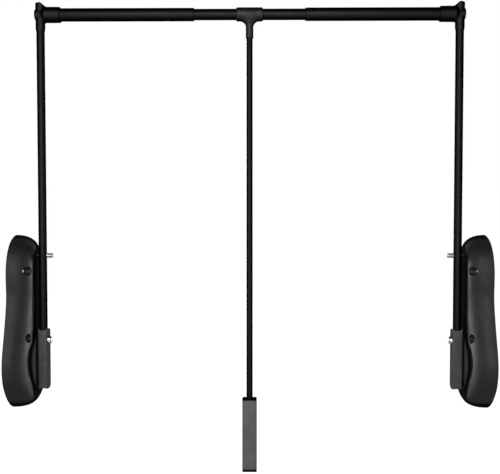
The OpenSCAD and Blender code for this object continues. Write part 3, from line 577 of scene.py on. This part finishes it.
def eased(mesh, width, angle=EASED_ANGLE):
    """Rounds the edges that turn by more than that angle."""
    def set_up(thing):
        modifier = thing.modifiers.new("bevel", "BEVEL")
        modifier.width = width
        modifier.segments = EASED_STEPS
        modifier.limit_method = "ANGLE"
        modifier.angle_limit = math.radians(angle)
        modifier.use_clamp_overlap = True
        return []
    return evaluated(mesh, set_up)


def joined(meshes):
    bm = bmesh.new()
    for mesh in meshes:
        bm.from_mesh(mesh)
    mesh = bpy.data.meshes.new("form")
    bm.to_mesh(mesh)
    bm.free()
    return mesh


def show(name, mesh, matrix, body, *nodes, smooth=SHARP_ANGLE, paint=None):
    """Makes a piece that rides on a body and stands for its nodes."""
    moved(mesh, matrix)
    mesh.shade_smooth()
    mesh.set_sharp_from_angle(angle=math.radians(smooth))
    mesh.materials.clear()
    mesh.materials.append(MATERIALS[paint or slot_of[nodes[0]]])
    piece = bpy.data.objects.new(name, mesh)
    bpy.context.scene.collection.objects.link(piece)
    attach(piece, body)
    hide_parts(*nodes)


# Castings, as distances to their surfaces
def common(edge, *parts):
    """Intersection whose edges are rounded."""
    inner = [part + edge for part in parts]
    outside = np.sqrt(sum(np.maximum(part, 0) ** 2 for part in inner))
    return outside + np.minimum(np.maximum.reduce(inner), 0) - edge


def rod_distance(points, axis, radius, low, high, edge=0):
    """Distance to a rod along an axis (0 x, 1 y, 2 z) whose rims are rounded."""
    across = np.linalg.norm(np.delete(points, axis, 1), axis=1) - radius
    along = np.abs(points[:, axis] - (low + high) / 2) - (high - low) / 2
    return common(edge, across, along)


def welded(a, b, fillet):
    """Union with a round fillet."""
    corner = np.hypot(np.maximum(fillet - a, 0), np.maximum(fillet - b, 0))
    return np.maximum(fillet, np.minimum(a, b)) - corner


def bored(a, b, edge):
    """a without b, with the new edge rounded."""
    corner = np.hypot(np.maximum(edge + a, 0), np.maximum(edge - b, 0))
    return np.minimum(-edge, np.maximum(a, -b)) + corner


def crossings(value, grid, cells):
    """The mean of the points where the edges of a cell cross 0, and which cells have any."""
    total = np.zeros((*cells, 3))
    hits = np.zeros(cells)
    corners = [(i, j, k) for i in (0, 1) for j in (0, 1) for k in (0, 1)]
    for a in corners:
        for axis in range(3):
            if a[axis]:
                continue
            b = tuple(a[k] + (k == axis) for k in range(3))
            at = [tuple(slice(c[k], c[k] + cells[k]) for k in range(3)) for c in (a, b)]
            first, second = value[at[0]], value[at[1]]
            crossed = (first < 0) != (second < 0)
            share = np.where(crossed, first / np.where(crossed, first - second, 1), 0)
            point = grid[at[0]] + share[..., None] * (grid[at[1]] - grid[at[0]])
            total += np.where(crossed[..., None], point, 0)
            hits += crossed
    used = hits > 0
    return total[used] / hits[used][:, None], used


def quads(value, index, counts):
    """A face for each edge of the grid that crosses 0, through the four cells around it."""
    faces = []
    for axis in range(3):
        u, v = [(1, 2), (2, 0), (0, 1)][axis]
        inner = [slice(1, counts[k] - 1) for k in range(3)]
        inner[axis] = slice(0, counts[axis] - 1)
        ahead = list(inner)
        ahead[axis] = slice(1, counts[axis])
        first, second = value[tuple(inner)] < 0, value[tuple(ahead)] < 0
        for flip in (False, True):
            places = np.argwhere(first & ~second if not flip else ~first & second)
            places[:, [k for k in range(3) if k != axis]] += 1
            quad = []
            for du, dv in ((-1, -1), (0, -1), (0, 0), (-1, 0)):
                cell = places.copy()
                cell[:, u] += du
                cell[:, v] += dv
                quad.append(index[cell[:, 0], cell[:, 1], cell[:, 2]])
            quad = np.stack(quad, 1)
            faces.append(quad[:, ::-1] if flip else quad)
    return np.concatenate(faces)


def pulled(distance, points):
    """The points after some steps along the slope, each onto the surface or nearly."""
    for _ in range(CAST_PULLS):
        here = distance(points)
        rises = [distance(points + CAST_NUDGE * np.eye(3)[k]) - here for k in range(3)]
        slope = np.stack(rises, 1) / CAST_NUDGE
        size = np.maximum((slope ** 2).sum(1), LEAST_SLOPE ** 2)
        points = points - (here / size)[:, None] * slope
    return points


def cast(distance, low, high):
    """The mesh where the distance is 0: one point for each cell that it crosses."""
    low, high = np.array(low, float), np.array(high, float)
    counts = np.ceil((high - low) / CAST_STEP).astype(int) + 1
    axes = [low[k] + CAST_STEP * np.arange(counts[k]) for k in range(3)]
    grid = np.stack(np.meshgrid(*axes, indexing="ij"), -1)
    value = distance(grid.reshape(-1, 3)).reshape(counts)
    cells = tuple(counts - 1)
    points, used = crossings(value, grid, cells)
    index = np.full(cells, -1)
    index[used] = np.arange(used.sum())
    mesh = bpy.data.meshes.new("casting")
    mesh.from_pydata(pulled(distance, points).tolist(), [], quads(value, index, counts).tolist())
    mesh.validate()
    return mesh


def connector_distance(p):
    x, y, z = p.T
    foot = np.clip((SLEEVE_TAPER_H - SLEEVE_DOWN - z) / SLEEVE_TAPER_H, 0, 1)
    sleeve = rod_distance(p, 2, SLEEVE_R - SLEEVE_TAPER * foot, -SLEEVE_DOWN, SLEEVE_JOINT, EDGE)
    slope = SLOPE_ACROSS * x + SLOPE_UP * z - SLOPE_OFFSET
    cap = common(SLOPE_EDGE, rod_distance(p, 2, CAP_R, -CAP_DOWN, SLEEVE_UP, CAP_EDGE), slope)
    oval = np.hypot(y, GUSSET_FLATNESS * (z - GUSSET_UP)) - GUSSET_R
    gusset = common(GUSSET_EDGE, slope, oval, x - GUSSET_L, -x)
    root_r = SOCKET_R - ROOT_STEP - ROOT_GROWTH * np.maximum(SOCKET_FLOOR - x, 0)
    root = rod_distance(p, 0, root_r, ROOT_START, ROOT_END, ROOT_EDGE)
    socket = rod_distance(p, 0, SOCKET_R, SOCKET_FLOOR - SOCKET_LAP, SOCKET_L, SOCKET_EDGE)
    pad = rod_distance(p, 0, PAD_R, -SLEEVE_R - PAD_H, 0, PAD_EDGE)
    upright = np.minimum(sleeve, welded(cap, gusset, CAP_FILLET))
    body = welded(upright, welded(root, socket, SOCKET_FILLET), CONNECTOR_FILLET)
    body = welded(body, pad, PAD_FILLET)
    arm = rod_distance(p, 2, ARM_R + SEAT_GAP, -BORE_REACH, ARM_TOP + SEAT_GAP)
    body = bored(body, arm, SLEEVE_MOUTH)
    tube = rod_distance(p, 0, SOCKET_BORE_R, SOCKET_FLOOR, BORE_REACH)
    return bored(body, tube, SOCKET_MOUTH)


def collar_distance(p):
    barrel = rod_distance(p, 0, COLLAR_R, -COLLAR_L / 2, COLLAR_L / 2, COLLAR_EDGE)
    stem = rod_distance(p, 2, STEM_R, -STEM_L, 0, STEM_EDGE)
    body = welded(barrel, stem, STEM_FILLET)
    tube = rod_distance(p, 0, COLLAR_BORE_R, -BORE_REACH, BORE_REACH)
    body = bored(body, tube, COLLAR_MOUTH)
    rod = rod_distance(p, 2, ROD_R + SEAT_GAP, -BORE_REACH, -ROD_TOP)
    return bored(body, rod, STEM_MOUTH)


# The housing cover
def smooth_loop(outline):
    """Closed spline through the outline's points, in millimetres of the unit's frame."""
    scale = np.array([HOUSING_W, HOUSING_H]) / 100
    b = np.array(outline) * scale - np.array([PIVOT_IN, PIVOT_H])
    a, c, d = np.roll(b, 1, 0), np.roll(b, -1, 0), np.roll(b, -2, 0)
    shares = [k / OUTLINE_STEPS for k in range(OUTLINE_STEPS)]
    rows = [0.5 * (2 * b + (c - a) * t + (2 * a - 5 * b + 4 * c - d) * t * t
        + (3 * b - a - 3 * c + d) * t ** 3) for t in shares]
    return np.stack(rows, 1).reshape(-1, 2)


def inset(loop, distance):
    """The loop moved inwards."""
    along = np.roll(loop, -1, 0) - np.roll(loop, 1, 0)
    along /= np.linalg.norm(along, axis=1)[:, None]
    return loop + distance * np.stack([-along[:, 1], along[:, 0]], 1)


def dome(wall_loop, face_loop, depth, steps, start=0):
    """Loft from the loop on the wall to the loop of the flat face."""
    rows = []
    if start < 0:
        rows.append([(start, *q) for q in wall_loop])
    for a in (math.pi / 2 * k / steps for k in range(steps + 1)):
        share = 1 - max(math.cos(a), 0) ** (2 / EDGE_POWER)
        height = depth * math.sin(a) ** (2 / EDGE_POWER)
        rows.append([(height, *q) for q in wall_loop * (1 - share) + face_loop * share])
    return lofted(rows)


def height_over(mesh):
    """Height of a form above the wall at a place on it."""
    bm = bmesh.new()
    bm.from_mesh(mesh)
    tree = BVHTree.FromBMesh(bm)
    bm.free()
    return lambda y, z: tree.ray_cast(Vector((2 * HOUSING_D, y, z)), Vector((-1, 0, 0)))[0].x


def bend(first, middle, last, steps):
    """A curve from the first point to the last that leans towards the middle one."""
    shares = [k / steps for k in range(steps + 1)]
    return [tuple((1 - t) ** 2 * first[i] + 2 * t * (1 - t) * middle[i] + t * t * last[i]
        for i in (0, 1)) for t in shares]


def well_cutter(height, place):
    """The space of a well, whose rim is rounded all along the sloping surface."""
    turns = [2 * math.pi * i / WELL_STEPS for i in range(WELL_STEPS)]
    spokes = [Vector((math.cos(a), math.sin(a))) for a in turns]
    centre = Vector(place)
    foot = [(WELL_R - WELL_FOOT, WELL_FLOOR), (WELL_R - WELL_FOOT_MIDDLE, WELL_FLOOR + WELL_FOOT_MIDDLE),
        (WELL_R, WELL_FLOOR + WELL_FOOT)]
    rim_r = WELL_R + WELL_RIM
    columns = []
    for spoke in spokes:
        rim = height(*(centre + spoke * rim_r))
        lip = height(*(centre + spoke * WELL_R))
        curve = bend((WELL_R, lip - WELL_RIM), (WELL_R, lip - WELL_RIM_MIDDLE), (rim_r, rim + WELL_RIM_LIFT),
            RIM_STEPS)
        columns.append([*foot, *curve, (rim_r + WELL_RIM_CLEAR, WELL_CUT_END)])
    return lofted([[(x, *(centre + spoke * radius)) for spoke, (radius, x) in zip(spokes, level)]
        for level in zip(*columns)])


def cover_form():
    """The moulded cover: a hollow dome with its wells and the hole for the bush."""
    wall_loop = smooth_loop(WALL_OUTLINE)
    face_loop = smooth_loop(FACE_OUTLINE)
    form = dome(wall_loop, face_loop, HOUSING_D, DOME_STEPS)
    height = height_over(form)
    cavity_loop = inset(wall_loop, COVER_WALL)
    cavity = dome(cavity_loop, face_loop, HOUSING_D - COVER_WALL, CAVITY_STEPS, start=-PAST)
    under_loop = inset(wall_loop, WELL_TUBE_SINK)
    under = dome(under_loop, face_loop, HOUSING_D - WELL_TUBE_SINK, WELL_TUBE_DOME_STEPS)
    steps = [("DIFFERENCE", cavity)]
    for y, z in WELL_PLACES:
        at_well = Matrix.Translation((0, y, z)) @ ALONG_X
        tube = solid_rod(WELL_R + COVER_WALL, WELL_FLOOR - COVER_WALL, HOUSING_D, WELL_STEPS)
        steps.append(("UNION", combined(moved(tube, at_well), [("INTERSECT", under)])))
        steps.append(("DIFFERENCE", well_cutter(height, (y, z))))
        bore = solid_rod(FERRULE_R + SEAT_GAP, PLATE_T - PAST, FERRULE_TOP + PAST, WELL_STEPS)
        steps.append(("DIFFERENCE", moved(bore, at_well)))
    bush, end = BUSH_R + SEAT_GAP, HOUSING_D + PAST
    bevel = BUSH_HOLE_BEVEL + PAST
    hole = turned([(0, BUSH_HOLE_START, 0), (bush, BUSH_HOLE_START, 0), (bush, end - bevel, 0),
        (bush + bevel, end, 0), (0, end, 0)], WELL_STEPS)
    steps.append(("DIFFERENCE", moved(hole, ALONG_X)))
    return combined(form, steps)


def make_covers():
    form = cover_form()
    for side in SIDES:
        show(f"{side}_cover_moulding", form.copy(), UNIT[side], f"{side}_unit", f"{side}_cover",
            smooth=LOFT_SHARP_ANGLE)


def ferrule_form():
    """The ferrules of both wells of a cover."""
    rings = []
    for y, z in WELL_PLACES:
        ring = turned([(FERRULE_BORE_R, PLATE_T, FERRULE_FOOT_EDGE), (FERRULE_R, PLATE_T, FERRULE_FOOT_EDGE),
            (FERRULE_R, FERRULE_TOP, FERRULE_OUTER_EDGE), (FERRULE_BORE_R, FERRULE_TOP, FERRULE_INNER_EDGE)],
            BOLT_STEPS, closed=True)
        rings.append(moved(ring, Matrix.Translation((0, y, z)) @ ALONG_X))
    return joined(rings)


def make_ferrules():
    form = ferrule_form()
    for side in SIDES:
        show(f"{side}_ferrule_pair", form.copy(), UNIT[side], f"{side}_unit", f"{side}_ferrules")


# Brackets, bolts and arms
def side_form(front, bevelled=False):
    """The side of the bracket as an extrusion along x, which trims bracket and cheek."""
    path = [(BRACKET_BACK, BRACKET_UP, FLANGE_R), (BRACKET_BACK, -BRACKET_DOWN, FLANGE_R)]
    if bevelled:
        bevel = front + BEVEL_T
        path += [(bevel, -BRACKET_DOWN, BEVEL_CORNER_R), (front, FOOT_BEVEL_H - BRACKET_DOWN, BEVEL_FOOT_R),
            (front, BRACKET_UP - BEVEL_H, BEVEL_TOP_R), (bevel, BRACKET_UP, BEVEL_CORNER_R)]
    else:
        path += [(front, -BRACKET_DOWN, 0), (front, BRACKET_UP, 0)]
    on_its_side = Matrix(((0, 0, 1, 0), (1, 0, 0, 0), (0, 1, 0, 0), (0, 0, 0, 1)))
    return moved(drawn(rounded(path, SIDE_STEPS), -CHANNEL_W, CHANNEL_W), on_its_side)


def bracket_form():
    """The channel that holds the foot of the arm, in the arm's frame."""
    half, inner = CHANNEL_W / 2, CHANNEL_W / 2 - BRACKET_T
    inner_r = BRACKET_R - BRACKET_T
    back, web_in = BRACKET_BACK + PAST, WEB_FRONT + WEB_T
    path = rounded([(-half, back, 0), (-half, WEB_FRONT, BRACKET_R), (half, WEB_FRONT, BRACKET_R),
        (half, back, 0), (inner, back, 0), (inner, web_in, inner_r), (-inner, web_in, inner_r),
        (-inner, back, 0)], CHANNEL_STEPS)
    channel = drawn(path, -BRACKET_DOWN - PAST, BRACKET_UP + PAST)
    hole = solid_rod(CLAMP_R + SEAT_GAP, 0, CLAMP_HOLE_L, BOLT_STEPS)
    hole = moved(hole, Matrix.Translation((-CLAMP_HOLE_L / 2, 0, CLAMP_UP)) @ ALONG_X)
    side = side_form(WEB_FRONT, bevelled=True)
    cut = combined(channel, [("INTERSECT", side), ("DIFFERENCE", hole)])
    return eased(cut, EDGE, BRACKET_EASED_ANGLE)


def cheek_form():
    """The rounded plate between the bracket and the housing, in the arm's frame."""
    disc = solid_rod(CHEEK_R, -CHANNEL_W / 2 - CHEEK_T, -CHANNEL_W / 2, CHEEK_STEPS)
    centre_y = CHEEK_R - CHEEK_FRONT - ARM_BACK
    disc = moved(disc, Matrix.Translation((0, centre_y, 0)) @ ALONG_X)
    side = side_form(-CHEEK_FRONT - ARM_BACK)
    return eased(combined(disc, [("INTERSECT", side)]), CHEEK_EDGE)


def make_brackets():
    bracket, cheek = bracket_form(), cheek_form()
    for side in SIDES:
        body = f"{side}_arm_set"
        show(f"{side}_bracket_channel", bracket.copy(), ARM[side], body, f"{side}_arm_bracket")
        show(f"{side}_cheek_plate", cheek.copy(), ARM[side], body, f"{side}_pivot_cheek",
            paint="cheek_paint")


def clamp_bolt_form():
    """The bolt through cheek, bracket and arm, with its domed head."""
    start, seat = -CHANNEL_W / 2 - CHEEK_T, CHANNEL_W / 2
    end = seat + CLAMP_HEAD_H
    return turned([(0, start, 0), (CLAMP_R, start, EDGE), (CLAMP_R, seat, 0),
        (CLAMP_HEAD_R, seat, CLAMP_HEAD_EDGE), (CLAMP_HEAD_R, end, CLAMP_HEAD_DOME), (0, end, 0)])


def stop_bolt_form(end):
    """The bolt across the arm, with a round head on the outer side."""
    start = -ARM_R - STOP_HEAD_H
    return turned([(0, start, 0), (STOP_NUT_R, start, STOP_HEAD_EDGE), (STOP_NUT_R, -ARM_R, FINE_EDGE),
        (STOP_R, -ARM_R, 0), (STOP_R, end, EDGE), (0, end, 0)], BOLT_STEPS)


def stop_nut_form(bore_end):
    """The sleeve nut on the stop bolt, with its groove and its rounded end."""
    bore_r, end = STOP_R + SEAT_GAP, ARM_R + STOP_NUT_L
    groove_r, groove_end = STOP_NUT_R - NUT_GROOVE_T, end - NUT_GROOVE_IN
    groove_start = groove_end - NUT_GROOVE_W
    return turned([(0, bore_end, 0), (bore_r, bore_end, 0), (bore_r, ARM_R, FINE_EDGE),
        (STOP_NUT_R, ARM_R, EDGE), (STOP_NUT_R, groove_start, GROOVE_LIP_EDGE),
        (groove_r, groove_start, GROOVE_FOOT_EDGE), (groove_r, groove_end, GROOVE_FOOT_EDGE),
        (STOP_NUT_R, groove_end, GROOVE_LIP_EDGE), (STOP_NUT_R, end, STOP_NUT_DOME), (0, end, 0)],
        BOLT_STEPS)


def make_bolts():
    stop_end = ARM_R + STOP_NUT_L / 2
    clamp, stop, nut = clamp_bolt_form(), stop_bolt_form(stop_end), stop_nut_form(stop_end + SEAT_GAP)
    for side in SIDES:
        body = f"{side}_arm_set"
        at_clamp = ARM[side] @ Matrix.Translation((0, 0, CLAMP_UP)) @ ALONG_X
        at_stop = ARM[side] @ Matrix.Translation((0, 0, STOP_UP)) @ ALONG_X
        show(f"{side}_clamp_bolt_domed", clamp.copy(), at_clamp, body, f"{side}_clamp_bolt")
        show(f"{side}_stop_bolt_round", stop.copy(), at_stop, body, f"{side}_stop_bolt",
            paint="black_screws")
        show(f"{side}_stop_nut_sleeve", nut.copy(), at_stop, body, f"{side}_stop_nut", paint="nut_steel")


def make_arms():
    for side in SIDES:
        arm = pipe(ARM_R, ARM_WALL, -ARM_TAIL, ARM_REACH + ARM_TOP, ARM_EDGE)
        show(f"{side}_arm_tube", arm, ARM[side], f"{side}_arm_set", f"{side}_arm")


# Connectors, rail and handle
def make_connectors():
    form = cast(connector_distance, *CONNECTOR_BOX)
    for side in SIDES:
        show(f"{side}_corner_casting", form.copy(), CORNER[side], f"{side}_arm_set",
            f"{side}_corner_connector", smooth=CAST_SHARP_ANGLE)


def guide_form(mouth):
    """The guide in the mouth of an outer tube, with a lip over its end."""
    start, end = mouth - GUIDE_L, mouth + GUIDE_LIP
    bore, seat = INNER_R + GUIDE_GAP, OUTER_R - OUTER_WALL - SEAT_GAP
    return turned([(bore, start, EDGE), (seat, start, EDGE), (seat, mouth, 0), (OUTER_R, mouth, 0),
        (OUTER_R, end, GUIDE_LIP_EDGE), (bore, end, GUIDE_MOUTH)], closed=True)


def inner_tube_form():
    """The inner tube with the groove in the middle that locates the collar."""
    half, groove, bore = INNER_L / 2, GROOVE_W / 2, INNER_R - INNER_WALL
    foot = INNER_R - GROOVE_DEPTH
    return turned([(bore, -half, EDGE), (INNER_R, -half, EDGE), (INNER_R, -groove, GROOVE_LIP_EDGE),
        (foot, -groove, GROOVE_FOOT_EDGE), (foot, groove, GROOVE_FOOT_EDGE),
        (INNER_R, groove, GROOVE_LIP_EDGE), (INNER_R, half, EDGE), (bore, half, EDGE)], closed=True)


def make_rail():
    mouth = OUTER_START + OUTER_L
    for side in SIDES:
        along, body = CORNER[side] @ ALONG_X, f"{side}_arm_set"
        tube = pipe(OUTER_R, OUTER_WALL, OUTER_START, mouth)
        show(f"{side}_rail_tube", tube, along, body, f"{side}_outer_tube")
        show(f"{side}_mouth_guide", guide_form(mouth), along, body, f"{side}_tube_guide")
    show("inner_rail_tube", inner_tube_form(), RAIL @ ALONG_X, "sliding_tube", "inner_tube")


def make_collar():
    form = cast(collar_distance, *COLLAR_BOX)
    show("collar_casting", form, RAIL, "handle_set", "handle_collar", smooth=CAST_SHARP_ANGLE)


def make_handle():
    """The rod with its square grip, which hangs from the collar along -z."""
    body, half = "handle_set", GRIP_W / 2
    rod = pipe(ROD_R, ROD_WALL, -ROD_END, -ROD_TOP - SEAT_GAP)
    show("handle_rod_tube", rod, RAIL, body, "handle_rod")
    corners = [(-half, -half), (half, -half), (half, half), (-half, half)]
    square = rounded([(*corner, GRIP_R) for corner in corners], GRIP_STEPS)
    hole = [("DIFFERENCE", solid_rod(ROD_R + SEAT_GAP, -ROD_END, -GRIP_HOLE_TOP, TUBE_STEPS))]
    top, foot = -GRIP_TOP - TOP_CAP_H, END_CAP_H - GRIP_END
    sleeve = combined(drawn(square, foot, top), hole)
    show("grip_sleeve", eased(sleeve, EDGE), RAIL, body, "grip")
    cap = combined(drawn(square, top, -GRIP_TOP), hole)
    show("grip_top_plate", eased(cap, TOP_CAP_EDGE), RAIL, body, "grip_top_cap")
    end_cap = drawn(square, -GRIP_END, foot)
    show("grip_foot_cap", eased(end_cap, END_CAP_EDGE), RAIL, body, "grip_end_cap")


def dress_nodes():
    """Materials of the CAD nodes that stay as they are."""
    for name, node in frame["nodes"].items():
        node.data.materials.clear()
        node.data.materials.append(MATERIALS[slot_of[name]])


make_camera()
make_world()
make_floor()
make_lamps()
MATERIALS = make_materials()
dress_nodes()
make_covers()
make_ferrules()
make_brackets()
make_bolts()
make_arms()
make_connectors()
make_rail()
make_collar()
make_handle()

bpy.context.scene.view_settings.view_transform = "Standard"
